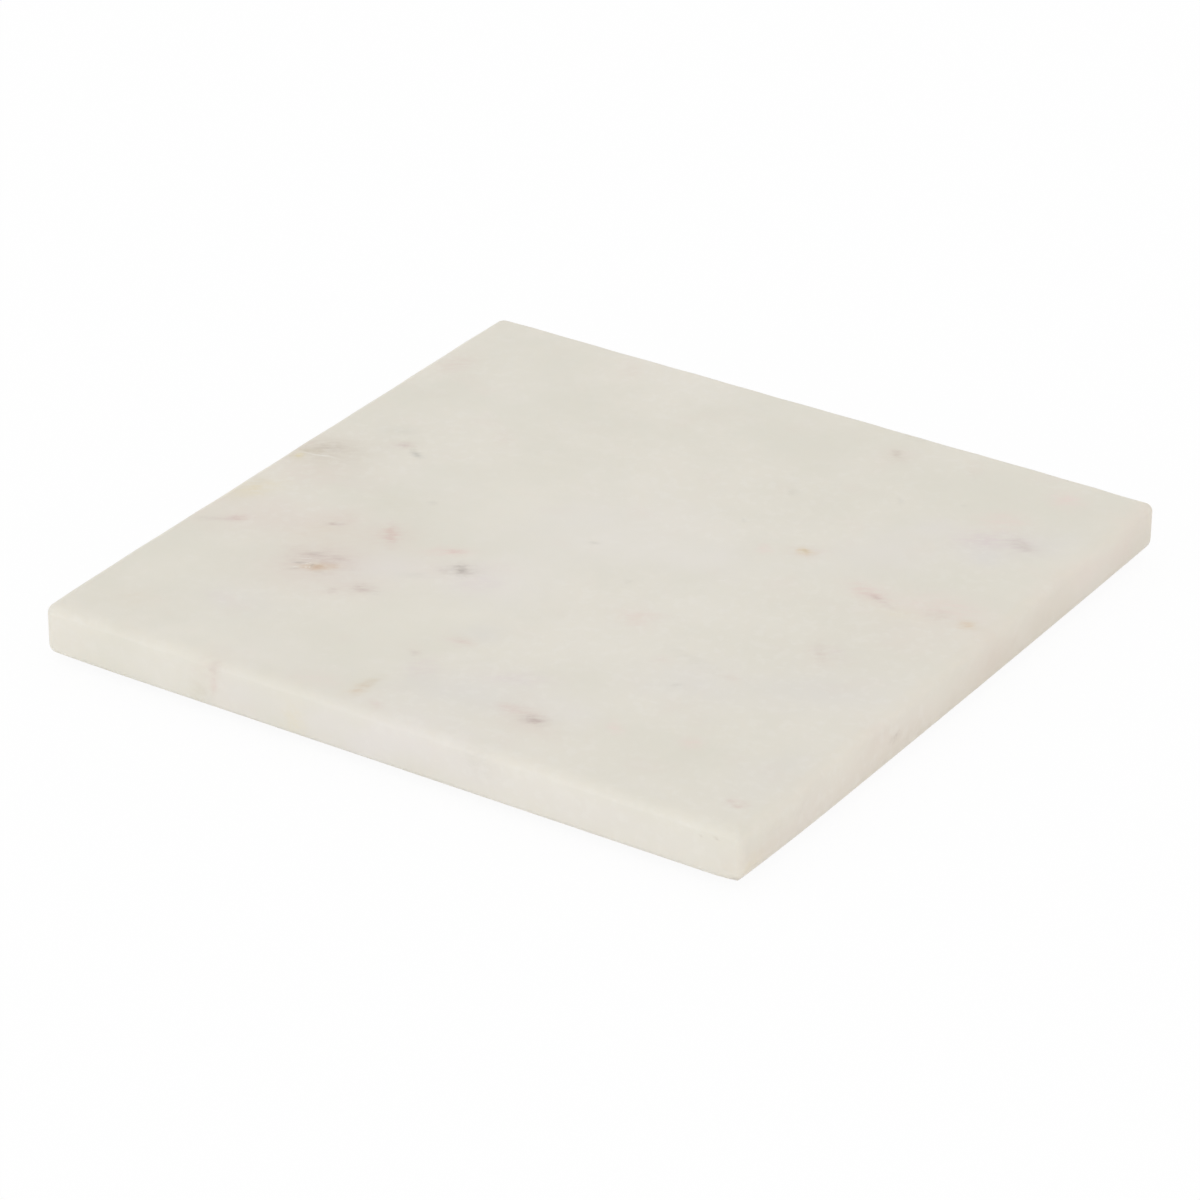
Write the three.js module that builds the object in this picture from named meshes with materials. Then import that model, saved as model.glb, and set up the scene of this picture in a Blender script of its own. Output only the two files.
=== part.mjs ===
// Square marble trivet: a stone slab with eased edges on four bonded bumper feet.
// Millimetres, +Z up. The origin is on the table, under the middle of the slab.
// Front is -Y and left is -X.
import * as THREE from 'three';

// Slab
const SLAB_SIDE = 200;
const SLAB_THICKNESS = 13.5;
const CORNER_RADIUS = 3;
const TOP_EDGE_RADIUS = 2.5;
const BOTTOM_EDGE_RADIUS = 2;

// Bumper feet: a moulded disc, narrower where it meets the table
const FOOT_DIAMETER = 12;
const FOOT_HEIGHT = 1.75;
const FOOT_TAPER = 0.35;
const FOOT_RIM_RADIUS = 0.6;
const FOOT_INSET = 20;

// Adhesive discs, cut a little smaller than the feet that they hold
const ADHESIVE_THICKNESS = 0.25;
const ADHESIVE_MARGIN = 0.4;

// Fineness of the round shapes
const CORNER_STEPS = 4;
const EDGE_STEPS = 6;
const RIM_STEPS = 3;
const ROUND_SEGMENTS = 40;

// The least radius that a corner keeps where an edge round runs over it
const LEAST_CORNER_RADIUS = 0.2;

const marble = new THREE.MeshStandardMaterial({ color: 0xdfdbd0, roughness: 0.35, metalness: 0 });
const silicone = new THREE.MeshStandardMaterial({ color: 0xd2d2cb, roughness: 0.5, metalness: 0 });
const acrylic = new THREE.MeshStandardMaterial({ color: 0xe6e4da, roughness: 0.25, metalness: 0 });

// The slab's square outline, drawn in by an inset, at one height.
function outlineLevel({ inset, height }) {
  const radius = Math.max(CORNER_RADIUS - inset, LEAST_CORNER_RADIUS);
  const centre = SLAB_SIDE / 2 - inset - radius;
  const quarter = Math.PI / 2;
  const outline = new THREE.Path();
  outline.absarc(centre, centre, radius, 0, quarter);
  outline.absarc(-centre, centre, radius, quarter, 2 * quarter);
  outline.absarc(-centre, -centre, radius, 2 * quarter, 3 * quarter);
  outline.absarc(centre, -centre, radius, 3 * quarter, 4 * quarter);
  return outline.getPoints(CORNER_STEPS).map((point) => new THREE.Vector3(point.x, point.y, height));
}

// A quarter round of the edge profile, as the inset and height of each level that it passes.
function edgeRound(radius, centreHeight, fromAngle, toAngle) {
  return Array.from({ length: EDGE_STEPS + 1 }, (_, step) => {
    const angle = THREE.MathUtils.lerp(fromAngle, toAngle, step / EDGE_STEPS);
    return {
      inset: radius * (1 - Math.cos(angle)),
      height: centreHeight + radius * Math.sin(angle),
    };
  });
}

// A closed solid lofted through level outlines, from the lowest to the highest.
function loft(levels) {
  const count = levels[0].length;
  const last = (levels.length - 1) * count;
  const faces = [];
  for (let level = 0; level < levels.length - 1; level += 1) {
    for (let side = 0; side < count; side += 1) {
      const next = (side + 1) % count;
      const lower = level * count;
      const upper = lower + count;
      faces.push(lower + side, lower + next, upper + next);
      faces.push(lower + side, upper + next, upper + side);
    }
  }
  for (const [a, b, c] of THREE.ShapeUtils.triangulateShape(levels[0], [])) {
    faces.push(c, b, a);
    faces.push(last + a, last + b, last + c);
  }
  const geometry = new THREE.BufferGeometry().setFromPoints(levels.flat());
  geometry.setIndex(faces);
  geometry.computeVertexNormals();
  return geometry;
}

// The stone, from its underside at height 0, with its lower and upper edges rounded.
function slabGeometry() {
  const quarter = Math.PI / 2;
  const lowerRound = edgeRound(BOTTOM_EDGE_RADIUS, BOTTOM_EDGE_RADIUS, -quarter, 0);
  const upperRound = edgeRound(TOP_EDGE_RADIUS, SLAB_THICKNESS - TOP_EDGE_RADIUS, 0, quarter);
  return loft([...lowerRound, ...upperRound].map(outlineLevel));
}

// A foot, from the table up: flat sole, rounded rim, tapered side, flat seat for the adhesive.
function footGeometry() {
  const seatRadius = FOOT_DIAMETER / 2;
  const soleRadius = seatRadius - FOOT_TAPER;
  const flatRadius = soleRadius - FOOT_RIM_RADIUS;
  const profile = new THREE.Path();
  profile.moveTo(0, 0);
  profile.lineTo(flatRadius, 0);
  profile.absarc(flatRadius, FOOT_RIM_RADIUS, FOOT_RIM_RADIUS, -Math.PI / 2, 0);
  profile.lineTo(seatRadius, FOOT_HEIGHT);
  profile.lineTo(0, FOOT_HEIGHT);
  return new THREE.LatheGeometry(profile.getPoints(RIM_STEPS), ROUND_SEGMENTS).rotateX(Math.PI / 2);
}

// An adhesive disc, from its lower face at height 0.
function adhesiveGeometry() {
  const radius = FOOT_DIAMETER / 2 - ADHESIVE_MARGIN;
  const disc = new THREE.CylinderGeometry(radius, radius, ADHESIVE_THICKNESS, ROUND_SEGMENTS);
  return disc.rotateX(Math.PI / 2).translate(0, 0, ADHESIVE_THICKNESS / 2);
}

function piece(name, geometry, material, x, y, z) {
  const mesh = new THREE.Mesh(geometry, material);
  mesh.name = name;
  mesh.position.set(x, y, z);
  return mesh;
}

const trivet = new THREE.Group();
trivet.name = 'trivet';
trivet.add(piece('slab', slabGeometry(), marble, 0, 0, FOOT_HEIGHT + ADHESIVE_THICKNESS));

const footReach = SLAB_SIDE / 2 - FOOT_INSET;
const corners = [
  { corner: 'front_left', x: -footReach, y: -footReach },
  { corner: 'front_right', x: footReach, y: -footReach },
  { corner: 'back_right', x: footReach, y: footReach },
  { corner: 'back_left', x: -footReach, y: footReach },
];
for (const { corner, x, y } of corners) {
  trivet.add(piece(`foot_${corner}`, footGeometry(), silicone, x, y, 0));
  trivet.add(piece(`adhesive_${corner}`, adhesiveGeometry(), acrylic, x, y, FOOT_HEIGHT));
}

export default trivet;
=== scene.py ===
# Looks of a square marble trivet: the stone and its figure, the bumper feet and their adhesive.
# Metres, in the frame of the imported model: +Z up, origin on the table under the slab.
from collections import namedtuple
from math import cos, pi, radians, sin

import bmesh
import bpy
from mathutils import Matrix, Vector


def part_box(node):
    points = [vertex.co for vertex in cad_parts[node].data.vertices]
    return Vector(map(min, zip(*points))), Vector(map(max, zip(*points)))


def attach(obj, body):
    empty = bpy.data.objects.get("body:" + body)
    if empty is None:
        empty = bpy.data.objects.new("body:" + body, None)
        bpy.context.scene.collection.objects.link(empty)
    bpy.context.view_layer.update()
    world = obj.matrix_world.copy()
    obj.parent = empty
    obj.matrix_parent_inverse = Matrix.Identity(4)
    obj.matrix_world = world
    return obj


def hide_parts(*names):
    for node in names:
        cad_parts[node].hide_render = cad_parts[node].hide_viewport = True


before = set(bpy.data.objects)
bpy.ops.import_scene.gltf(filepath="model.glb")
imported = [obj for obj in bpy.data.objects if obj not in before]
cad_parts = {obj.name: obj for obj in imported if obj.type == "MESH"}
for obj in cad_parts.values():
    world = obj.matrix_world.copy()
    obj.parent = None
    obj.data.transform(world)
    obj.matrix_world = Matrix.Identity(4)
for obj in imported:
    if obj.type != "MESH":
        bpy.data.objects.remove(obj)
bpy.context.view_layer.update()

MM = 0.001

# Slab
SLAB_LOW, SLAB_HIGH = (Vector(corner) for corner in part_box("slab"))
SLAB_HALF = (SLAB_HIGH.x - SLAB_LOW.x) / 2
SLAB_CENTRE = (SLAB_LOW + SLAB_HIGH) / 2
TOP_EDGE_RADIUS = 2.5 * MM
BOTTOM_EDGE_RADIUS = 2 * MM
LEAST_CORNER_RADIUS = 0.2 * MM
CORNER_STEPS = 12
SIDE_STEPS = 80
EDGE_STEPS = 12
FACE_MARGINS = (1 * MM, 4 * MM, 12 * MM)

# The corners seen from above, eased by hand and so not all alike: back right, back left, front left
# and front right, the order in which the outline runs
CORNER_RADII = (2.2 * MM, 3 * MM, 3 * MM, 1.6 * MM)

# The upper edge as hand honing leaves it: how much further its rounding reaches into the top face than
# down the side in front and on the right, how soon that fades round the corners to the other sides,
# how much the radius wavers, the lengths of the waves and how fast they run along y
HONED_REACH = 0.4
HONED_FADE = 20 * MM
EDGE_WAVER = 0.07
WAVER_LENGTHS = (47 * MM, 17 * MM)
WAVER_SLANT = 0.7

# Where handling has worn the lower edge rounder: the corner, how far the wear runs along x and
# along y, and how much it adds to the edge's radius
Wear = namedtuple("Wear", "x y along_x along_y growth")
WORN_CORNERS = (
    Wear(SLAB_HALF, -SLAB_HALF, 8 * MM, 45 * MM, 1.6 * MM),
    Wear(SLAB_HALF, SLAB_HALF, 8 * MM, 130 * MM, 1.5 * MM),
    Wear(-SLAB_HALF, -SLAB_HALF, 28 * MM, 8 * MM, 0.6 * MM),
)

# Bumper feet and adhesive discs
CORNER_NAMES = ("front_left", "front_right", "back_right", "back_left")
FOOT_TAPER = 0.35 * MM
FOOT_RIM_RADIUS = 0.6 * MM
FOOT_RIM_STEPS = 8
FOOT_SEAT_BREAK = 0.12 * MM
FOOT_SEAT_MARGIN = 4 * FOOT_SEAT_BREAK
ADHESIVE_BULGE = 0.15 * MM
ADHESIVE_MARGIN = 4 * ADHESIVE_BULGE
ROUND_SEGMENTS = 96

# The moulding mark in a foot's sole, and the points of its profile as shares of its radius and depth
GATE_RADIUS = 1.1 * MM
GATE_DEPTH = 0.18 * MM
GATE_PROFILE = ((0.6, 1), (0.9, 0.6), (1, 0))

# Camera, fitted to the outline in the photograph
CAMERA_AZIMUTH = 32.79
CAMERA_ELEVATION = 28.05
CAMERA_ROLL = 0.44
CAMERA_DISTANCE = 1.3266
CAMERA_LENS = 159.8
CAMERA_SENSOR = 36
AIM_RIGHT = -2.5 * MM
AIM_UP = -6.05 * MM

# Light: each lamp is a wide low softbox, and its strength is what it adds to a surface that faces it
Lamp = namedtuple("Lamp", "name azimuth elevation distance width height strength colour")
LAMPS = (
    Lamp("key", -15, 8, 2.5, 4.0, 0.7, 0.175, (0.88, 0.93, 1.0)),
    Lamp("fill", 84, 8, 2.5, 2.5, 0.7, 0.04, (1.0, 0.75, 0.62)),
)
WORLD_STRENGTH = 0.955
FLOOR_SIZE = 8
FLOOR_DROP = 0.1 * MM
FLOOR_COLOUR = (0.96, 0.96, 0.96)
FLOOR_WHITENING = 0.93
FLOOR_ROUGHNESS = 0.9


def srgb(red, green, blue):
    """A display colour from 0 to 255, as a linear shader colour."""
    def linear(value):
        value /= 255
        return value / 12.92 if value <= 0.04045 else ((value + 0.055) / 1.055) ** 2.4
    return (linear(red), linear(green), linear(blue), 1)


def turned(azimuth, elevation):
    """The unit vector towards a place at an azimuth, 0 in front, and an elevation, in degrees."""
    around = radians(azimuth)
    above = radians(elevation)
    return Vector((sin(around) * cos(above), -cos(around) * cos(above), sin(above)))


# Colours of the stone, and a brown-grey for painted shade
CREAM = srgb(224, 219, 207)
SHADE = srgb(219, 215, 202)
PALE = srgb(229, 224, 212)
COOL = srgb(227, 222, 214)
HAZE = srgb(217, 213, 209)
LAVENDER = srgb(224, 218, 214)
WHITE = srgb(232, 229, 222)
BLUSH = srgb(220, 208, 198)
PINK = srgb(230, 206, 200)
ROSE = srgb(203, 162, 155)
PLUM = srgb(178, 152, 146)
MAROON = srgb(152, 112, 106)
RUST = srgb(172, 122, 82)
AMBER = srgb(202, 165, 112)
GOLD = srgb(223, 208, 150)
OLIVE = srgb(180, 168, 130)
BROWN = srgb(180, 166, 150)
# Brown-grey for painted shade, darker towards the bottom of the right side
PAINTED_SHADE = srgb(190, 170, 148)
SLATE = srgb(172, 168, 157)
INK = srgb(142, 126, 118)
VIOLET = srgb(178, 160, 156)
LILAC = srgb(207, 184, 195)

# Colours of the silicone, of the dust in its pores and of the adhesive
MILK = srgb(211, 211, 205)
PALE_MILK = srgb(220, 220, 214)
PORE_DUST = srgb(176, 172, 160)
FILM = srgb(222, 219, 206)
BUBBLE = srgb(238, 237, 230)

# How fast a stain fades from its middle, the direction of the stone's grain and how far it draws out
# the streaks
STAIN_FADE = 1.6
GRAIN_TURN = 33
GRAIN_STRETCH = 3

# Sizes of the patterns in the materials, in millimetres
CLOUD_SIZE = 38
BLUSH_SIZE = 13
MOTTLE_SIZE = 7
CURD_SIZE = 3.2
STREAK_SIZE = 1.4
CRYSTAL_SIZE = 1.1
HAZE_SIZE = 3
PORE_SIZE = 0.33
BUBBLE_SIZE = 0.5

# What gives the clouds and the stains a natural outline: the size of each push and how far it reaches,
# in millimetres
CLOUD_WARP = (26, 16)
STAIN_WARPS = ((6, 3), (1.5, 1))

# Depth of the fine relief on the stone and on the feet, and how far light spreads under their surfaces
RELIEF_DEPTH = 0.05 * MM
MARBLE_GLOW = 6 * MM
SILICONE_GLOW = 1.5 * MM

# Figure of the stone. Places are in millimetres from the middle of the slab and up from the table, half
# sizes are in millimetres too, and the turn is in degrees from +X. The tall half size of a stain in the
# top face or in the underside is its depth into the stone.
STAIN_DEPTH = 5
CLOUD_DEPTH = 20
BED_DEPTH = 4
TOP = SLAB_HIGH.z / MM
BED = SLAB_LOW.z / MM
FRONT = LEFT = -SLAB_HALF / MM
BACK = RIGHT = SLAB_HALF / MM
Stain = namedtuple("Stain", "x y along across turn tint strength z tall", defaults=(TOP, STAIN_DEPTH))


def top_cloud(x, y, along, across, turn, tint, strength, tall=CLOUD_DEPTH):
    """A broad stain in the top face that runs deep into the stone."""
    return Stain(x, y, along, across, turn, tint, strength, TOP, tall)


def bed_stain(x, y, along, across, turn, tint, strength):
    """A stain in the underside."""
    return Stain(x, y, along, across, turn, tint, strength, BED, BED_DEPTH)


# Broad clouds in the top face, then in the front and right sides, with painted light along the near edges of
# the top face and painted light and shade on the right side
CLOUDS = (
    top_cloud(-4, 8, 42, 20, 15, COOL, 0.6),
    top_cloud(-10, -28, 15, 24, 10, COOL, 0.55),
    top_cloud(5, 27, 13, 9, 30, COOL, 0.25),
    top_cloud(20, 9, 16, 10, 20, COOL, 0.5),
    top_cloud(-20, 12, 15, 8, 30, COOL, 0.3),
    top_cloud(-34, -37, 9, 6, 20, COOL, 0.25),
    top_cloud(50, 30, 16, 10, 60, COOL, 0.3),
    top_cloud(56, 50, 14, 8, 40, COOL, 0.3),
    top_cloud(-42, -88, 30, 9, 0, COOL, 0.25),
    top_cloud(88, 66, 16, 14, 30, HAZE, 0.4),
    top_cloud(76, 49, 9, 9, 30, HAZE, 0.6),
    top_cloud(80, -30, 20, 15, 30, HAZE, 0.4),
    top_cloud(54, -48, 18, 13, 20, HAZE, 0.35),
    top_cloud(14, -78, 26, 13, 25, HAZE, 0.45),
    top_cloud(-3, -55, 7, 6, 20, HAZE, 0.35),
    top_cloud(-61, -72, 14, 9, -20, HAZE, 0.3),
    top_cloud(92, -72, 9, 16, 0, HAZE, 0.3),
    top_cloud(25, -42, 20, 14, 20, WHITE, 0.14),
    top_cloud(36, -16, 14, 20, 20, WHITE, 0.12),
    top_cloud(-16, 36, 16, 7, 30, WHITE, 0.14),
    top_cloud(-58, 8, 20, 10, -30, WHITE, 0.12),
    top_cloud(-68, 60, 10, 26, 10, WHITE, 0.1),
    top_cloud(-25, 92, 30, 7, 0, WHITE, 0.1),
    top_cloud(-24, -62, 22, 22, 20, PALE, 0.3),
    top_cloud(38, -67, 24, 12, 10, PALE, 0.25),
    top_cloud(-14, -48, 14, 7, 20, PALE, 0.35),
    top_cloud(-88, -70, 10, 14, 0, PALE, 0.3),
    # The next three: painted light, pale strips along the front edge and the right edge of the top face
    top_cloud(-62, -94, 42, 7, 0, PALE, 0.42, 2),
    top_cloud(64, -93, 40, 7, 0, PALE, 0.3, 2),
    top_cloud(RIGHT - 2, 68, 7, 38, 0, PALE, 0.45, 4),
    top_cloud(-36, 10, 12, 22, 0, PALE, 0.42),
    top_cloud(62, 80, 44, 20, 0, SHADE, 0.8),
    top_cloud(24, 52, 22, 12, 10, SHADE, 0.5),
    top_cloud(20, 36, 13, 7, 10, SHADE, 0.5),
    top_cloud(-90, 66, 10, 16, 0, SHADE, 0.35),
    top_cloud(78, 34, 20, 10, 30, SHADE, 0.7),
    top_cloud(64, 2, 14, 16, 30, SHADE, 0.6),
    top_cloud(82, -6, 16, 18, 0, SHADE, 0.55),
    top_cloud(58, -24, 24, 12, 0, SHADE, 0.55),
    top_cloud(75, -80, 40, 30, 0, SHADE, 0.3),
    top_cloud(-80, 28, 16, 11, 0, SHADE, 0.4),
    top_cloud(-62, -8, 22, 9, 20, SHADE, 0.5),
    top_cloud(-80, -30, 26, 13, 15, BLUSH, 0.5),
    top_cloud(-55, -44, 24, 18, 33, BLUSH, 0.42),
    top_cloud(-40, -40, 18, 9, 33, LAVENDER, 0.4),
    top_cloud(61, 57, 9, 8, 30, LAVENDER, 0.3),
    top_cloud(58, 37, 11, 12, 0, LAVENDER, 0.35),
    top_cloud(36, -74, 9, 8, 0, LAVENDER, 0.3),
    top_cloud(-20, -27, 9, 10, 0, LAVENDER, 0.3),
    top_cloud(-31, -32, 10, 7, 33, BLUSH, 0.2),
    top_cloud(84, 8, 18, 20, 0, BLUSH, 0.25),
    top_cloud(32, -86, 10, 6, 0, BLUSH, 0.4),
    top_cloud(-84, 8, 20, 18, 0, BROWN, 0.1),
    top_cloud(-90, 2, 12, 14, 0, AMBER, 0.035),
    Stain(4, FRONT, 44, 10, 0, LAVENDER, 0.6, 9, 9),
    Stain(64, FRONT, 30, 10, 0, LAVENDER, 0.25, 9, 8),
    Stain(-42, FRONT, 8, 10, 0, LAVENDER, 0.4, 9, 8),
    Stain(-66, FRONT, 10, 10, 0, COOL, 0.4, 8, 8),
    # Painted warm light: a warm tint over the whole right side
    Stain(RIGHT, 0, 8, 120, 0, BLUSH, 0.25, 7.5, 8),
    # Painted shade: the right side darker and browner towards the bottom
    Stain(RIGHT, 0, 8, 120, 0, PAINTED_SHADE, 0.2, 2, 7),
    Stain(RIGHT, 72, 6, 34, 0, PINK, 0.2, 12, 6),
    # The next two: painted shade, darkening the lower part of the right side
    Stain(RIGHT, 74, 8, 34, 0, ROSE, 0.045, 4, 4),
    Stain(RIGHT, -80, 8, 30, 0, ROSE, 0.05, 7, 5),
)

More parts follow.
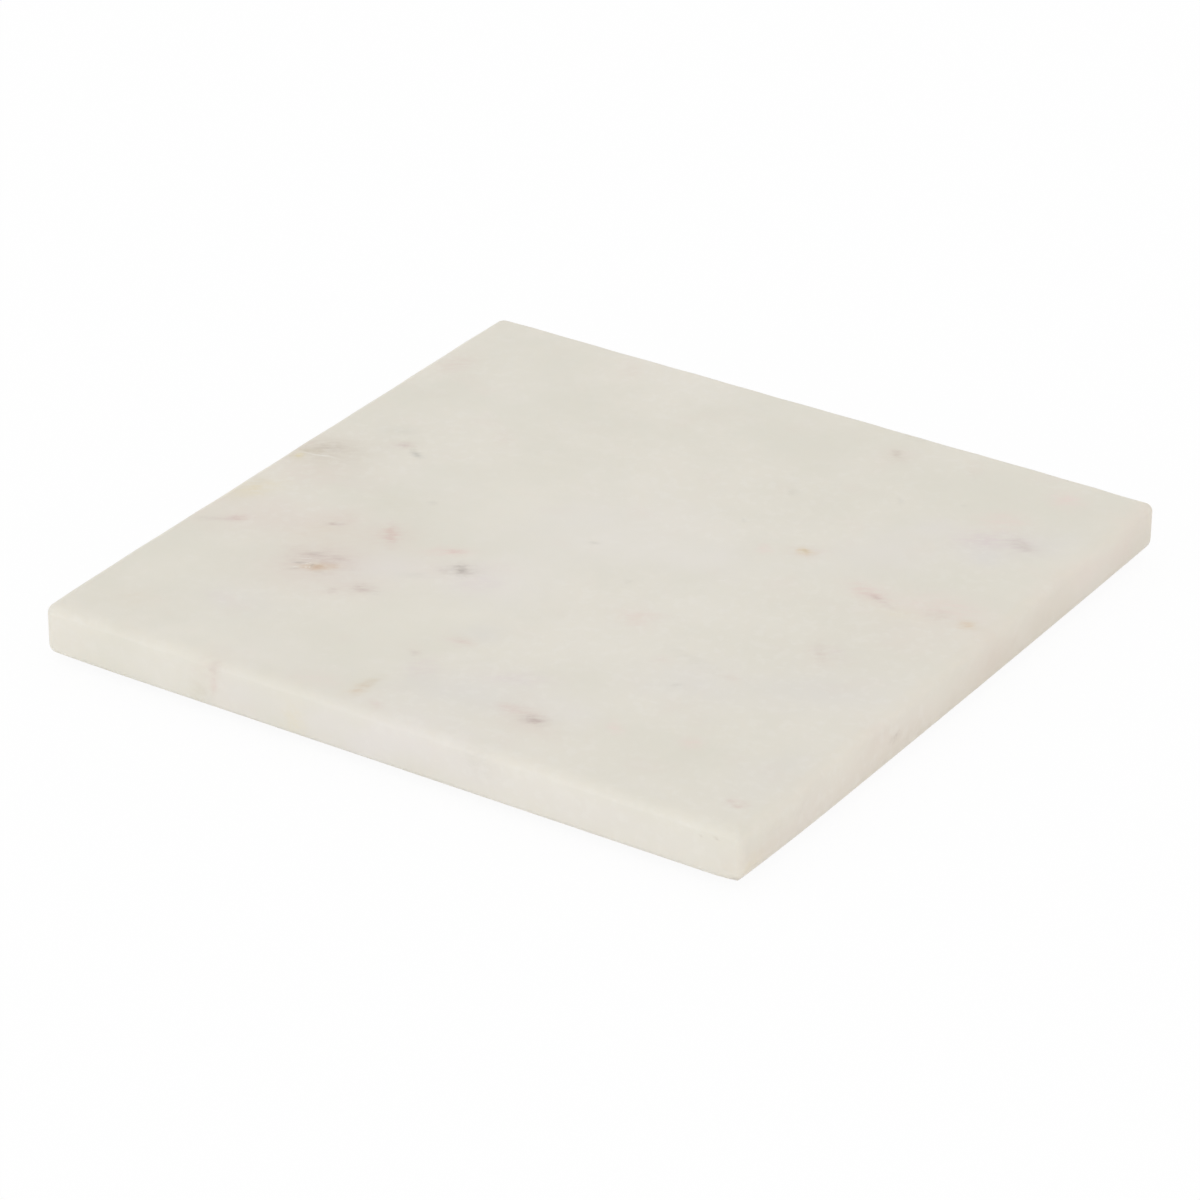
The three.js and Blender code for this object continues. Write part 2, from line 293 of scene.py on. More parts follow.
# Inclusions, each group under its own heading
STAINS = (
    # Rust-coloured cluster on the left of the top face, with its flecks
    Stain(-57, -45, 13, 11, 33, ROSE, 0.09),
    Stain(-57, -43.5, 9, 6.5, 33, PLUM, 0.19),
    Stain(-60, -42, 5, 1.8, 33, PLUM, 0.22),
    Stain(-53.8, -40.2, 2.6, 2.2, 33, PLUM, 0.15),
    Stain(-66.5, -41.3, 3, 2, 33, PLUM, 0.08),
    Stain(-49.5, -43.8, 2.8, 1.8, 33, PLUM, 0.07),
    Stain(-53, -48.4, 2.6, 1.4, 33, BROWN, 0.12),
    Stain(-60.7, -41.1, 2, 0.8, 33, INK, 0.1),
    Stain(-55.4, -46.6, 5.2, 2, 33, AMBER, 0.34),
    Stain(-55.6, -47, 2.6, 1.1, 33, RUST, 0.2),
    Stain(-58.2, -48.3, 1.8, 1.3, 33, AMBER, 0.18),
    Stain(-60.8, -47.3, 2, 0.5, 33, INK, 0.28),
    Stain(-57, -47, 0.8, 0.6, 33, INK, 0.3),
    Stain(-59.9, -51.1, 1.8, 0.5, 33, INK, 0.16),
    Stain(-60.8, -44.7, 1.7, 0.3, 33, WHITE, 0.5),
    Stain(-59.3, -45.5, 0.4, 0.35, 33, WHITE, 0.3),
    Stain(-58.4, -46.1, 0.4, 0.35, 33, WHITE, 0.5),
    Stain(-58.9, -46.9, 0.4, 0.4, 33, WHITE, 0.6),
    Stain(-58.1, -48.4, 0.5, 0.45, 33, WHITE, 0.65),
    Stain(-57.1, -47.9, 0.45, 0.4, 33, WHITE, 0.65),
    Stain(-60.1, -50.1, 1.2, 0.35, 33, WHITE, 0.7),
    # Plum marks beside the cluster
    Stain(-42, -51, 8, 6, 33, ROSE, 0.08),
    Stain(-40, -50, 3.2, 2.4, 33, PLUM, 0.28),
    Stain(-36.4, -50.4, 2.6, 1.5, 33, SLATE, 0.09),
    Stain(-46, -55, 2.2, 1.6, 33, PLUM, 0.23),
    # Rose marks behind the cluster
    Stain(-51, -23, 8, 7, 33, ROSE, 0.13),
    Stain(-50.5, -22.5, 6.2, 2.1, -55, ROSE, 0.33),
    Stain(-34, -22.6, 6, 2.6, 33, ROSE, 0.1),
    Stain(-33, -22, 7, 3.4, 33, PINK, 0.26),
    Stain(-32.4, -21, 3, 1.6, 33, ROSE, 0.22),
    # Dark inclusion with its haze
    Stain(-25.5, -28.5, 5.5, 4.4, 33, INK, 0.16),
    Stain(-25.2, -28.2, 2, 1.9, -40, INK, 0.36),
    Stain(-24.9, -27.9, 1.7, 1.4, 33, INK, 0.28),
    Stain(-22.8, -29.6, 3, 2, 33, INK, 0.16),
    Stain(-33, -37, 5, 2, 33, SLATE, 0.09),
    Stain(-29.5, -31, 3, 2, 33, PLUM, 0.1),
    Stain(-18, -32, 8, 6, 33, LILAC, 0.14),
    # Warm haze behind the cluster and towards the left edge
    Stain(-65, -22, 6, 6, 33, ROSE, 0.1),
    Stain(-65.2, -25.8, 2.3, 1.2, 33, PLUM, 0.47),
    Stain(-66, -31, 9, 8, 33, AMBER, 0.06),
    Stain(-88, -36.2, 4, 1.8, 33, ROSE, 0.26),
    Stain(-88.4, -36.4, 3, 1.4, 33, PLUM, 0.1),
    Stain(-93, -40, 7, 1.6, 33, PLUM, 0.12),
    Stain(-94, -21, 9, 5, 60, GOLD, 0.18),
    Stain(-95, -21, 9, 4, 80, AMBER, 0.07),
    Stain(-96, -17, 3, 2.4, 60, OLIVE, 0.1),
    # Brown patch at the left edge, with a pale hairline
    Stain(-90, 6, 11, 11, 0, BROWN, 0.13),
    Stain(-92, 8.6, 7.4, 5, 33, BROWN, 0.28),
    Stain(-94.5, 4.6, 4, 1.6, 20, OLIVE, 0.22),
    Stain(-95.6, -0.4, 3.4, 2.4, -60, OLIVE, 0.13),
    Stain(-95.8, 0.8, 2.4, 1.6, -60, GOLD, 0.4),
    Stain(-97.4, 3.8, 1, 0.8, 0, AMBER, 0.15),
    Stain(-91, 3.5, 6, 0.42, 8, WHITE, 0.6),
    Stain(-86, -6, 12, 8, 25, BLUSH, 0.4),
    # Small marks behind the brown patch
    Stain(-76.5, 20.5, 3.4, 2.4, 33, PLUM, 0.25),
    Stain(-76.5, 20.5, 5, 3, 33, ROSE, 0.06),
    Stain(-71.3, 18.2, 3, 1.4, -35, SLATE, 0.45),
    Stain(-82, 27, 6, 3, 33, SLATE, 0.08),
    Stain(-60, -9, 9, 7, 0, OLIVE, 0.04),
    # Mark at the back edge, and small grey specks
    Stain(32.5, 86.5, 3.4, 1.7, -55, BROWN, 0.34),
    Stain(32.5, 86, 6, 6, -55, ROSE, 0.1),
    Stain(21, 53, 2.2, 1.5, -50, SLATE, 0.17),
    Stain(18.6, 32.5, 1.4, 0.8, -50, SLATE, 0.24),
    Stain(-6.2, 1.5, 1.6, 0.9, 33, SLATE, 0.25),
    Stain(12, -11.3, 1.6, 1, 33, SLATE, 0.15),
    Stain(-51.7, -2.6, 1.4, 1, 33, SLATE, 0.15),
    Stain(60.5, 70.7, 1.6, 1, -50, SLATE, 0.1),
    Stain(46, 64, 1.8, 1, -50, SLATE, 0.17),
    # Violet mark near the right corner
    Stain(83.6, 60, 5, 2.4, -25, VIOLET, 0.34),
    Stain(74, 57, 8, 5.5, 33, LILAC, 0.2),
    Stain(79, 59, 12, 7, 20, LILAC, 0.12),
    Stain(73, 69, 8, 6, 33, PINK, 0.26),
    # Amber spot
    Stain(40.3, 27, 2.4, 1.8, 10, AMBER, 0.38),
    Stain(40.2, 27, 2, 1.5, 10, GOLD, 0.3),
    Stain(40.2, 27, 1.1, 0.8, 10, OLIVE, 0.38),
    Stain(40.6, 27.3, 6.5, 3.6, 33, ROSE, 0.1),
    Stain(31, 22.5, 3, 2.6, -30, PINK, 0.28),
    # Rose trail towards the right edge
    Stain(65.5, 16.5, 7, 3.4, -15, ROSE, 0.24),
    Stain(63.5, 18, 8, 5, -15, PINK, 0.16),
    Stain(67.5, 15.6, 2.4, 1.4, -20, PLUM, 0.25),
    Stain(72, 14, 3, 1.6, -40, PLUM, 0.14),
    Stain(84, 20, 14, 8, 10, PINK, 0.26),
    Stain(84, 16.5, 5, 4, 0, BROWN, 0.12),
    Stain(93, 15.5, 3, 2.4, 0, AMBER, 0.28),
    Stain(76, 11, 7, 4, 20, GOLD, 0.08),
    # Faint rose marks near the middle and the right edge
    Stain(70.5, -16, 5.4, 2, -55, PLUM, 0.13),
    Stain(71, -17, 8, 5, -55, ROSE, 0.07),
    Stain(74, -14, 5, 3, -55, LILAC, 0.08),
    Stain(24, -26, 6, 4.4, -30, ROSE, 0.1),
    Stain(27, -22.5, 6, 2, 20, ROSE, 0.06),
    Stain(24, -26, 7, 5, -30, PINK, 0.12),
    # Small ring near the front corner
    Stain(91.6, -88.4, 3.2, 2.4, 0, ROSE, 0.1),
    Stain(91.6, -88.4, 2.4, 1.7, 0, ROSE, 0.16),
    Stain(91.6, -88.4, 2.2, 1.6, 0, PLUM, 0.1),
    Stain(91.9, -88, 1.1, 0.8, 0, CREAM, 0.9),
    # Marks near the front edge
    Stain(31, -81.5, 4.6, 3.2, 20, PLUM, 0.24),
    Stain(31.2, -81.6, 2.6, 1.9, 20, MAROON, 0.36),
    Stain(25, -79.5, 7, 3, 15, ROSE, 0.18),
    Stain(-11, -90.5, 6, 2.2, 80, RUST, 0.13),
    Stain(-10.6, -88, 4, 1.6, 80, OLIVE, 0.08),
    Stain(-11, -93, 3.4, 2, 80, AMBER, 0.1),
    Stain(-12, -91, 8, 3.6, 75, GOLD, 0.06),
    Stain(-23, -94, 9, 4.4, 20, PINK, 0.14),
    Stain(-4, -96, 3.6, 2.4, -50, ROSE, 0.13),
    # Faint marks over the front half
    Stain(-5, -59, 4.4, 3, 10, ROSE, 0.18),
    Stain(-10.5, -70, 2, 1.4, 0, PLUM, 0.18),
    Stain(-5, -75, 7, 5, -60, LILAC, 0.15),
    Stain(17, -67, 11, 4, 25, LILAC, 0.14),
    Stain(68, -70, 4, 3, -50, PINK, 0.28),
    Stain(49, -74, 4, 2.4, -50, PINK, 0.24),
    Stain(47, -36, 12, 2.6, -12, SLATE, 0.08),
    Stain(41, -40, 3, 2.4, 0, ROSE, 0.08),
    Stain(59, -38, 3, 2.4, 0, ROSE, 0.08),
    Stain(50, -48.6, 2, 1.4, 20, SLATE, 0.12),
    Stain(-66, -73, 4, 3, 0, LILAC, 0.08),
    Stain(-84, -85, 8, 6, 20, AMBER, 0.05),
    # Faint blushes at the back and the left edge
    Stain(-52, 91, 8, 4, -60, ROSE, 0.07),
    Stain(81, 88, 6, 5, 0, PINK, 0.36),
    Stain(53, 90, 6, 3, -60, ROSE, 0.06),
    Stain(-57, 38, 6, 3, -60, ROSE, 0.07),
    Stain(-93, 68, 5, 8, 0, ROSE, 0.14),
    # Front side
    Stain(-47.8, FRONT, 3, 2.4, 0, PLUM, 0.13, 15.4, 1.8),
    Stain(-48.7, FRONT, 1.8, 4, 0, PLUM, 0.13, 13, 1.4),
    Stain(-48.5, FRONT, 1.2, 4, 0, ROSE, 0.12, 9, 4),
    Stain(-50, FRONT, 6, 9, 0, ROSE, 0.06, 12, 7),
    Stain(-53, FRONT, 3, 4, 0, OLIVE, 0.08, 5, 5),
    Stain(-50.4, FRONT, 1.8, 3, 0, SLATE, 0.09, 5.5, 2.4),
    Stain(-25, FRONT, 4, 4, 0, GOLD, 0.14, 7, 5),
    Stain(28.5, FRONT, 6, 4, 0, SLATE, 0.1, 12, 6),
    Stain(89, FRONT, 0.8, 1.5, 0, BROWN, 0.3, 11.9, 0.5),
    Stain(93.3, FRONT, 0.9, 1.5, 0, BROWN, 0.3, 12.7, 0.5),
    Stain(85.8, FRONT, 1.2, 1.5, 0, WHITE, 0.4, 13.4, 0.5),
    # Painted shade: a small dark spot low at the front corner
    Stain(98, FRONT, 1.4, 2, 0, INK, 0.3, 3.6, 0.7),
    # Front corner and right side
    Stain(RIGHT, FRONT, 3, 3, 0, WHITE, 0.35, 6, 3),
    Stain(RIGHT, -85, 3, 5, 0, BROWN, 0.08, 10, 2.4),
    Stain(RIGHT, -74.6, 3, 3.4, 0, BROWN, 0.11, 9.7, 2),
    Stain(RIGHT, -30.8, 3, 2.6, 0, BROWN, 0.33, 8.6, 1.6),
    # Painted highlight: a pale patch at the upper edge of the right side
    Stain(RIGHT, 45, 4, 6, 0, WHITE, 0.3, TOP, 2.5),
    Stain(RIGHT, 27, 3, 2.4, 0, BROWN, 0.1, 7.6, 2),
    Stain(RIGHT, -37, 4, 6, 0, ROSE, 0.06, 12, 4),
    Stain(RIGHT, -96, 4, 5, 0, GOLD, 0.12, 6, 3),
    Stain(RIGHT, -90, 4, 8, 0, AMBER, 0.05, 5.6, 3.4),
    Stain(RIGHT, 15, 4, 8, 0, ROSE, 0.06, 8, 6),
    Stain(RIGHT, 84, 4, 8, 0, ROSE, 0.06, 8, 6),
)

# Inclusions in the same manner on what the photograph doesn't show: the left, the back and the underside
HIDDEN_STAINS = (
    Stain(LEFT, 5, 4, 9, 0, BROWN, 0.16, 11, 5),
    Stain(LEFT, -21, 4, 5, 0, GOLD, 0.18, 11, 5),
    Stain(LEFT, -39, 4, 1.6, 0, PLUM, 0.2, 12, 3),
    Stain(LEFT, 46, 4, 7, 0, ROSE, 0.09, 9, 5),
    Stain(LEFT, 47, 3, 1.5, 0, PLUM, 0.24, 8, 1.2),
    Stain(LEFT, -72, 4, 20, 0, LAVENDER, 0.4, 8, 7),
    Stain(33, BACK, 2, 4, 0, BROWN, 0.2, 13, 3),
    Stain(-30, BACK, 2, 4, 0, SLATE, 0.22, 8, 1.4),
    Stain(-62, BACK, 26, 4, 0, LAVENDER, 0.4, 9, 7),
    Stain(79, BACK, 6, 4, 0, ROSE, 0.1, 7, 4),
    Stain(80, BACK, 1.6, 4, 0, AMBER, 0.24, 6, 1),
    bed_stain(6, -14, 30, 14, 25, COOL, 0.4),
    bed_stain(-34, 62, 24, 12, 10, HAZE, 0.35),
    bed_stain(40, 45, 11, 8, 33, ROSE, 0.1),
    bed_stain(41, 46, 5, 2.2, 33, PLUM, 0.26),
    bed_stain(44, 44.5, 3, 1.2, 33, AMBER, 0.3),
    bed_stain(-49, -18, 8, 5, 33, ROSE, 0.1),
    bed_stain(-48, -17.5, 2.4, 1.5, 33, PLUM, 0.36),
    bed_stain(12, -58, 8, 5, 33, ROSE, 0.08),
    bed_stain(13, -57.5, 2.2, 1.5, -40, INK, 0.32),
    bed_stain(-20, 14, 12, 5, 25, LILAC, 0.14),
    bed_stain(-62, 38, 4, 1.4, -45, SLATE, 0.26),
    bed_stain(66, -36, 9, 3, 15, GOLD, 0.2),
    bed_stain(72, 18, 6, 2.4, -20, ROSE, 0.2),
)


def lofted(name, rings):
    """A closed smooth mesh through rings of points, each with as many, capped at both ends."""
    mesh = bmesh.new()
    levels = [[mesh.verts.new(point) for point in ring] for ring in rings]
    count = len(levels[0])
    for lower, upper in zip(levels, levels[1:]):
        for index in range(count):
            after = (index + 1) % count
            mesh.faces.new((lower[index], lower[after], upper[after], upper[index]))
    mesh.faces.new(list(reversed(levels[0])))
    mesh.faces.new(levels[-1])
    for face in mesh.faces:
        face.smooth = True
    data = bpy.data.meshes.new(name)
    mesh.to_mesh(data)
    mesh.free()
    piece = bpy.data.objects.new(name, data)
    bpy.context.scene.collection.objects.link(piece)
    return piece


def arc(radius, centre_height, start, end, steps):
    """Inset and height of points on a quarter round, between two angles in degrees."""
    points = []
    for step in range(steps + 1):
        angle = radians(start + (end - start) * step / steps)
        points.append((radius * (1 - cos(angle)), centre_height + radius * sin(angle)))
    return points


def outline_columns():
    """Each column of the slab's mesh: its quarter, its share of the corner and of the side that follows."""
    columns = []
    for quarter in range(len(CORNER_RADII)):
        columns += [(quarter, step / CORNER_STEPS, 0) for step in range(CORNER_STEPS + 1)]
        columns += [(quarter, 1, step / SIDE_STEPS) for step in range(1, SIDE_STEPS)]
    return columns


def outline_place(column, inset):
    """The place of a column on the slab's outline drawn in by an inset."""
    quarter, bend, share = column
    after = (quarter + 1) % len(CORNER_RADII)
    radius = max(CORNER_RADII[quarter] - inset, LEAST_CORNER_RADIUS)
    radius_after = max(CORNER_RADII[after] - inset, LEAST_CORNER_RADIUS)
    reach = SLAB_HALF - inset - radius
    side = 2 * (SLAB_HALF - inset) - radius - radius_after
    x = reach + radius * cos(bend * pi / 2) - side * share
    y = reach + radius * sin(bend * pi / 2)
    return Matrix.Rotation(quarter * pi / 2, 2) @ Vector((x, y))


def bottom_radius(place):
    """The radius of the lower edge at a place, grown where the edge is worn."""
    radius = BOTTOM_EDGE_RADIUS
    for wear in WORN_CORNERS:
        away = Vector(((place.x - wear.x) / wear.along_x, (place.y - wear.y) / wear.along_y)).length
        radius += wear.growth * max(0, 1 - away) ** 2
    return radius


def top_radius(place):
    """The radius of the upper edge at a place, which wavers a little along each side."""
    waves = [sin(2 * pi * (place.x - WAVER_SLANT * place.y) / length) for length in WAVER_LENGTHS]
    return TOP_EDGE_RADIUS * (1 + EDGE_WAVER * sum(waves) / len(waves))


def top_reach(place):
    """How far the upper edge's rounding reaches into the top face at a place, for each unit of its radius."""
    short_of_front = SLAB_HALF - max(place.x, -place.y)
    return 1 + HONED_REACH * max(0, 1 - short_of_front / HONED_FADE)


def round_ring(centre, radius, height):
    """A level circle about a vertical axis."""
    ring = []
    for step in range(ROUND_SEGMENTS):
        angle = 2 * pi * step / ROUND_SEGMENTS
        ring.append(Vector((centre.x + radius * cos(angle), centre.y + radius * sin(angle), height)))
    return ring


def slab_profile(column):
    """Inset and height up one column of the slab, from its underside to its top face."""
    low = SLAB_LOW.z
    high = SLAB_HIGH.z
    lower = bottom_radius(outline_place(column, 0))
    upper = top_radius(outline_place(column, 0))
    reach = top_reach(outline_place(column, 0))
    profile = [(lower + margin, low) for margin in reversed(FACE_MARGINS)]
    profile += arc(lower, low + lower, -90, 0, EDGE_STEPS)
    profile += [(inset * reach, height) for inset, height in arc(upper, high - upper, 0, 90, EDGE_STEPS)]
    profile += [(upper * reach + margin, high) for margin in FACE_MARGINS]
    return profile


def make_slab():
    """The stone with its edges rounded, and level margins that keep the faces flat."""
    walls = []
    for column in outline_columns():
        walls.append([(*outline_place(column, inset), height) for inset, height in slab_profile(column)])
    return lofted("marble_slab", list(zip(*walls)))


def make_foot(corner):
    """A moulded bumper: a gate mark in its sole, a rounded rim, a tapered side and a flat seat."""
    low, high = (Vector(point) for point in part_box("foot_" + corner))
    centre = (low + high) / 2
    seat = (high.x - low.x) / 2
    sole = seat - FOOT_TAPER
    rim = arc(FOOT_RIM_RADIUS, low.z + FOOT_RIM_RADIUS, -90, 0, FOOT_RIM_STEPS)
    profile = [(GATE_RADIUS * across, low.z + GATE_DEPTH * deep) for across, deep in GATE_PROFILE]
    profile += [(sole - 2 * FOOT_RIM_RADIUS, low.z)]
    profile += [(sole - inset, z) for inset, z in rim]
    profile += [(seat, high.z - FOOT_SEAT_BREAK), (seat - FOOT_SEAT_BREAK, high.z)]
    profile += [(seat - FOOT_SEAT_MARGIN, high.z)]
    return lofted("bumper_" + corner, [round_ring(centre, radius, z) for radius, z in profile])


def make_adhesive(corner):
    """An adhesive disc, pressed out a little between the foot and the stone."""
    low, high = (Vector(point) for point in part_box("adhesive_" + corner))
    centre = (low + high) / 2
    radius = (high.x - low.x) / 2
    middle = (low.z + high.z) / 2
    profile = [(radius - ADHESIVE_MARGIN, low.z), (radius - ADHESIVE_BULGE, low.z), (radius, middle)]
    profile += [(radius - ADHESIVE_BULGE, high.z), (radius - ADHESIVE_MARGIN, high.z)]
    return lofted("adhesive_film_" + corner, [round_ring(centre, edge, z) for edge, z in profile])


def add_node(tree, kind, inputs=None, **settings):
    """A shader node with its settings, its sockets set to values or linked to other sockets."""
    node = tree.nodes.new(kind)
    for name, value in settings.items():
        setattr(node, name, value)
    for name, value in (inputs or {}).items():
        if isinstance(value, bpy.types.NodeSocket):
            tree.links.new(value, node.inputs[name])
        else:
            node.inputs[name].default_value = value
    return node


def vector_math(tree, operation, first, second):
    """The vector that comes of two others."""
    return add_node(tree, "ShaderNodeVectorMath", {0: first, 1: second}, operation=operation).outputs[0]


def math_node(tree, operation, first, second):
    """The number that comes of two others."""
    return add_node(tree, "ShaderNodeMath", {0: first, 1: second}, operation=operation).outputs[0]


def noise(tree, place, size, detail=3.0, roughness=0.5):
    """A noise node whose features have a size in the units of the place."""
    inputs = {"Vector": place, "Scale": 1 / size, "Detail": detail, "Roughness": roughness}
    return add_node(tree, "ShaderNodeTexNoise", inputs)


def ramp(tree, value, low, high, to_low=0.0, to_high=1.0):
    """A smooth step of a value between two limits."""
    inputs = {"Value": value, "From Min": low, "From Max": high, "To Min": to_low, "To Max": to_high}
    return add_node(tree, "ShaderNodeMapRange", inputs, interpolation_type="SMOOTHSTEP").outputs[0]


def mix_colour(tree, share, first, second):
    """One colour laid over another by a share."""
    inputs = {0: share, 6: first, 7: second}
    return add_node(tree, "ShaderNodeMix", inputs, data_type="RGBA").outputs[2]


def warped(tree, place, size, reach):
    """A place pushed about by noise, so that what is drawn there has a natural outline."""
    push = vector_math(tree, "SUBTRACT", noise(tree, place, size).outputs["Color"], (0.5, 0.5, 0.5))
    return vector_math(tree, "ADD", place, vector_math(tree, "MULTIPLY", push, (reach, reach, reach)))


def stain_group():
    """A node group that lays one soft ellipsoid of a tint over a colour."""
    group = bpy.data.node_groups.new("stain", "ShaderNodeTree")
    sockets = (
        ("Colour", "NodeSocketColor"),
        ("Place", "NodeSocketVector"),
        ("Grain", "NodeSocketFloat"),
        ("Centre", "NodeSocketVector"),
        ("Turn", "NodeSocketFloat"),
        ("Half size", "NodeSocketVector"),
        ("Tint", "NodeSocketColor"),
        ("Strength", "NodeSocketFloat"),
    )
    for name, kind in sockets:
        group.interface.new_socket(name, in_out="INPUT", socket_type=kind)
    group.interface.new_socket("Colour", in_out="OUTPUT", socket_type="NodeSocketColor")
    given = group.nodes.new("NodeGroupInput").outputs
    result = group.nodes.new("NodeGroupOutput")
    offset = vector_math(group, "SUBTRACT", given["Place"], given["Centre"])
    turn = {"Vector": offset, "Angle": given["Turn"]}
    lined_up = add_node(group, "ShaderNodeVectorRotate", turn, rotation_type="Z_AXIS", invert=True)
    share = vector_math(group, "DIVIDE", lined_up.outputs[0], given["Half size"])
    away = add_node(group, "ShaderNodeVectorMath", {0: share, 1: share}, operation="DOT_PRODUCT")
    fade = math_node(group, "MULTIPLY", away.outputs["Value"], -STAIN_FADE)
    cover = add_node(group, "ShaderNodeMath", {0: fade}, operation="EXPONENT").outputs[0]
    cover = math_node(group, "MULTIPLY", cover, given["Strength"])
    cover = math_node(group, "MULTIPLY", cover, given["Grain"])
    group.links.new(mix_colour(group, cover, given["Colour"], given["Tint"]), result.inputs["Colour"])
    return group


def lay_stains(tree, group, stains, colour, place, grain):
    """One stain after another over a colour."""
    for stain in stains:
        node = tree.nodes.new("ShaderNodeGroup")
        node.node_tree = group
        tree.links.new(colour, node.inputs["Colour"])
        tree.links.new(place, node.inputs["Place"])
        tree.links.new(grain, node.inputs["Grain"])
        node.inputs["Centre"].default_value = (stain.x, stain.y, stain.z)
        node.inputs["Turn"].default_value = radians(stain.turn)
        node.inputs["Half size"].default_value = (stain.along, stain.across, stain.tall)
        node.inputs["Tint"].default_value = stain.tint
        node.inputs["Strength"].default_value = stain.strength
        colour = node.outputs["Colour"]
    return colour


def new_material(name):
    """A material with its node tree and its shader."""
    material = bpy.data.materials.new(name)
    material.use_nodes = True
    return material, material.node_tree, material.node_tree.nodes["Principled BSDF"]


def add_glow(shader, weight, spread, scale):
    """Light that spreads under the surface, by a different share for red, green and blue."""
    shader.subsurface_method = "BURLEY"
    shader.inputs["Subsurface Weight"].default_value = weight
    shader.inputs["Subsurface Radius"].default_value = spread
    shader.inputs["Subsurface Scale"].default_value = scale


def add_relief(tree, shader, height, strength):
    """A fine relief on the surface."""
    inputs = {"Height": height, "Strength": strength, "Distance": RELIEF_DEPTH}
    tree.links.new(add_node(tree, "ShaderNodeBump", inputs).outputs[0], shader.inputs["Normal"])


def millimetres(tree):
    """The place in the part's own frame, in millimetres."""
    place = tree.nodes.new("ShaderNodeTexCoord").outputs["Object"]
    return vector_math(tree, "MULTIPLY", place, (1 / MM, 1 / MM, 1 / MM))


def streaked(tree, place, turn, stretch):
    """A place drawn out along a direction, in degrees from +X."""
    inputs = {"Vector": place, "Rotation": (0, 0, radians(turn)), "Scale": (stretch, 1, 1)}
    return add_node(tree, "ShaderNodeMapping", inputs, vector_type="TEXTURE").outputs[0]


def marble():
    """Honed cream marble: soft clouds, fine mottling, inclusions, and a faint glow under the surface."""
    material, tree, shader = new_material("marble")
    place = millimetres(tree)
    cloud = noise(tree, place, CLOUD_SIZE, 4, 0.55).outputs["Fac"]
    mottle = noise(tree, place, MOTTLE_SIZE, 4, 0.6).outputs["Fac"]
    crystal = noise(tree, place, CRYSTAL_SIZE, 3, 0.6).outputs["Fac"]
    colour = mix_colour(tree, ramp(tree, cloud, 0.35, 0.65), SHADE, CREAM)
    colour = mix_colour(tree, ramp(tree, mottle, 0.52, 0.72, 0, 0.25), colour, COOL)
    group = stain_group()
    even = ramp(tree, mottle, 0.1, 0.6, 0.7, 1.1)
    colour = lay_stains(tree, group, CLOUDS, colour, warped(tree, place, *CLOUD_WARP), even)
    blush = noise(tree, place, BLUSH_SIZE, 2).outputs["Fac"]
    colour = mix_colour(tree, ramp(tree, blush, 0.55, 0.75, 0, 0.16), colour, BLUSH)
    fine = noise(tree, streaked(tree, place, GRAIN_TURN, GRAIN_STRETCH), STREAK_SIZE, 3, 0.6).outputs["Fac"]
    grain = ramp(tree, fine, 0.3, 0.7, 0.5, 1.5)
    bent = place
    for size, reach in STAIN_WARPS:
        bent = warped(tree, bent, size, reach)
    colour = lay_stains(tree, group, STAINS + HIDDEN_STAINS, colour, bent, grain)
    curd = noise(tree, place, CURD_SIZE, 2, 0.6).outputs["Fac"]
    most = ramp(tree, cloud, 0.4, 0.6, 0.02, 0.18)
    flecks = math_node(tree, "MULTIPLY", ramp(tree, curd, 0.48, 0.68), most)
    colour = mix_colour(tree, flecks, colour, WHITE)
    most = ramp(tree, mottle, 0.5, 0.65, 0, 0.3)
    flecks = math_node(tree, "MULTIPLY", ramp(tree, fine, 0.6, 0.8), most)
    colour = mix_colour(tree, flecks, colour, WHITE)
    tree.links.new(colour, shader.inputs["Base Color"])
    tree.links.new(ramp(tree, mottle, 0.3, 0.7, 0.4, 0.48), shader.inputs["Roughness"])
    add_glow(shader, 0.2, (1.0, 0.75, 0.5), MARBLE_GLOW)
    add_relief(tree, shader, crystal, 0.06)
    return material


def silicone():
    """Milky moulded silicone with a faintly grained skin and dust in its pores."""
    material, tree, shader = new_material("silicone")
    place = millimetres(tree)
    haze = noise(tree, place, HAZE_SIZE, 3).outputs["Fac"]
    pores = noise(tree, place, PORE_SIZE, 2).outputs["Fac"]
    colour = mix_colour(tree, ramp(tree, haze, 0.3, 0.7), MILK, PALE_MILK)
    colour = mix_colour(tree, ramp(tree, pores, 0.62, 0.75, 0, 0.18), colour, PORE_DUST)
    tree.links.new(colour, shader.inputs["Base Color"])
    tree.links.new(ramp(tree, haze, 0.3, 0.7, 0.32, 0.45), shader.inputs["Roughness"])
    add_glow(shader, 0.3, (1.0, 0.95, 0.9), SILICONE_GLOW)
    add_relief(tree, shader, pores, 0.08)
    return material


def acrylic():
    """Clear acrylic adhesive that shows the stone's colour, with small bubbles."""
    material, tree, shader = new_material("acrylic")
    place = millimetres(tree)
    bubbles = noise(tree, place, BUBBLE_SIZE, 2).outputs["Fac"]
    colour = mix_colour(tree, ramp(tree, bubbles, 0.55, 0.7), FILM, BUBBLE)
    tree.links.new(colour, shader.inputs["Base Color"])
    tree.links.new(ramp(tree, bubbles, 0.4, 0.7, 0.18, 0.35), shader.inputs["Roughness"])
    return material


def dress(piece, material, node):
    """Gives a piece its material, sets it on the part's one body and in place of its node."""
    piece.data.materials.append(material)
    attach(piece, "root")
    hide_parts(node)


def seen_rays(tree):
    """1 for the rays that show the surroundings: to the camera, in a reflection or through glass."""
    path = tree.nodes.new("ShaderNodeLightPath").outputs
    seen = math_node(tree, "MAXIMUM", path["Is Camera Ray"], path["Is Glossy Ray"])
    return math_node(tree, "MAXIMUM", seen, path["Is Transmission Ray"])


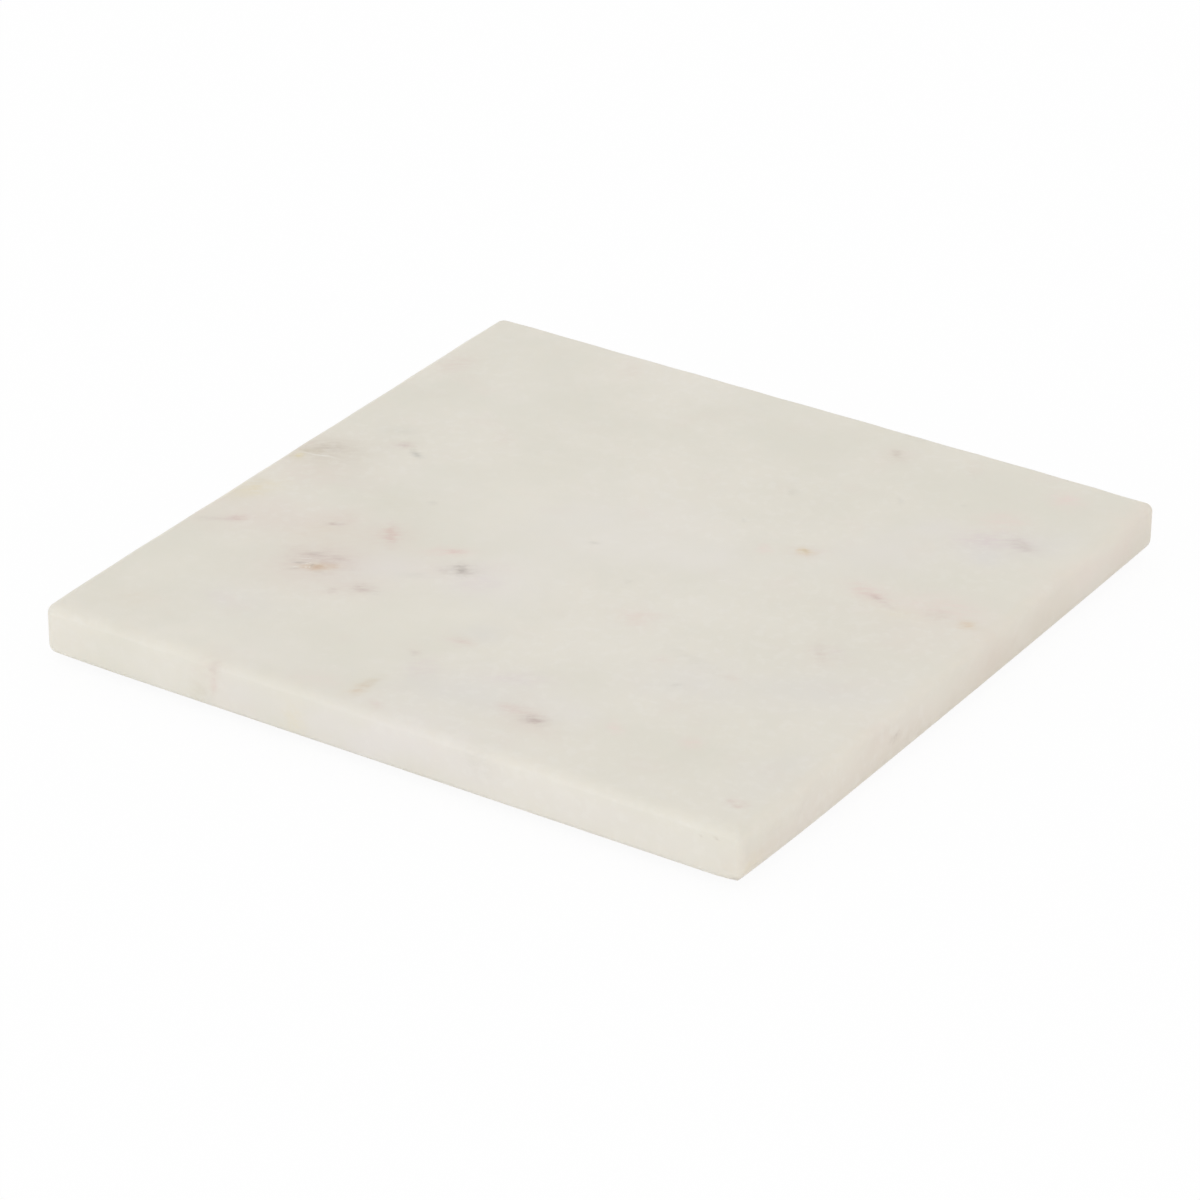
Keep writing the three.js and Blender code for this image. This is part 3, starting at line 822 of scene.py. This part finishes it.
def make_floor():
    """A white table that keeps the object's shadow, paler to the camera."""
    half = FLOOR_SIZE / 2
    data = bpy.data.meshes.new("floor")
    corners = [(x * half, y * half, -FLOOR_DROP) for x, y in ((-1, -1), (1, -1), (1, 1), (-1, 1))]
    data.from_pydata(corners, [], [(0, 1, 2, 3)])
    floor = bpy.data.objects.new("floor", data)
    bpy.context.scene.collection.objects.link(floor)
    material, tree, shader = new_material("floor")
    shader.inputs["Base Color"].default_value = (*FLOOR_COLOUR, 1)
    shader.inputs["Roughness"].default_value = FLOOR_ROUGHNESS
    shader.inputs["Specular IOR Level"].default_value = 0
    white = add_node(tree, "ShaderNodeEmission", {"Strength": 1.0})
    share = math_node(tree, "MULTIPLY", seen_rays(tree), FLOOR_WHITENING)
    mix = add_node(tree, "ShaderNodeMixShader", {0: share, 1: shader.outputs[0], 2: white.outputs[0]})
    tree.links.new(mix.outputs[0], tree.nodes["Material Output"].inputs["Surface"])
    data.materials.append(material)


def make_light():
    """Even white light from all round, and large soft lamps."""
    world = bpy.data.worlds.new("studio")
    bpy.context.scene.world = world
    world.use_nodes = True
    tree = world.node_tree
    inputs = {"Value": seen_rays(tree), "To Min": WORLD_STRENGTH, "To Max": 1.0}
    strength = add_node(tree, "ShaderNodeMapRange", inputs)
    background = tree.nodes["Background"]
    background.inputs["Color"].default_value = (1, 1, 1, 1)
    tree.links.new(strength.outputs[0], background.inputs["Strength"])
    for lamp in LAMPS:
        data = bpy.data.lights.new(lamp.name, "AREA")
        data.shape = "RECTANGLE"
        data.size = lamp.width
        data.size_y = lamp.height
        data.color = lamp.colour
        data.energy = lamp.strength * pi ** 2 * lamp.distance ** 2
        light = bpy.data.objects.new(lamp.name, data)
        towards = turned(lamp.azimuth, lamp.elevation)
        light.location = SLAB_CENTRE + towards * lamp.distance
        light.rotation_euler = towards.to_track_quat("Z", "Y").to_euler()
        bpy.context.scene.collection.objects.link(light)


def make_camera():
    """The camera at the photograph's place, with its slight roll."""
    data = bpy.data.cameras.new("camera")
    data.sensor_width = CAMERA_SENSOR
    data.lens = CAMERA_LENS
    camera = bpy.data.objects.new("camera", data)
    back = turned(CAMERA_AZIMUTH, CAMERA_ELEVATION)
    level = Vector((0, 0, 1)).cross(back).normalized()
    roll = Matrix.Rotation(radians(CAMERA_ROLL), 3, back)
    right = roll @ level
    up = back.cross(right)
    camera.matrix_world = Matrix((right, up, back)).transposed().to_4x4()
    camera.location = SLAB_CENTRE + right * AIM_RIGHT + up * AIM_UP + back * CAMERA_DISTANCE
    bpy.context.scene.collection.objects.link(camera)
    bpy.context.scene.camera = camera


bpy.context.scene.view_settings.view_transform = "Standard"
make_camera()
make_light()
make_floor()
dress(make_slab(), marble(), "slab")
bumper_material = silicone()
film_material = acrylic()
for corner_name in CORNER_NAMES:
    dress(make_foot(corner_name), bumper_material, "foot_" + corner_name)
    dress(make_adhesive(corner_name), film_material, "adhesive_" + corner_name)
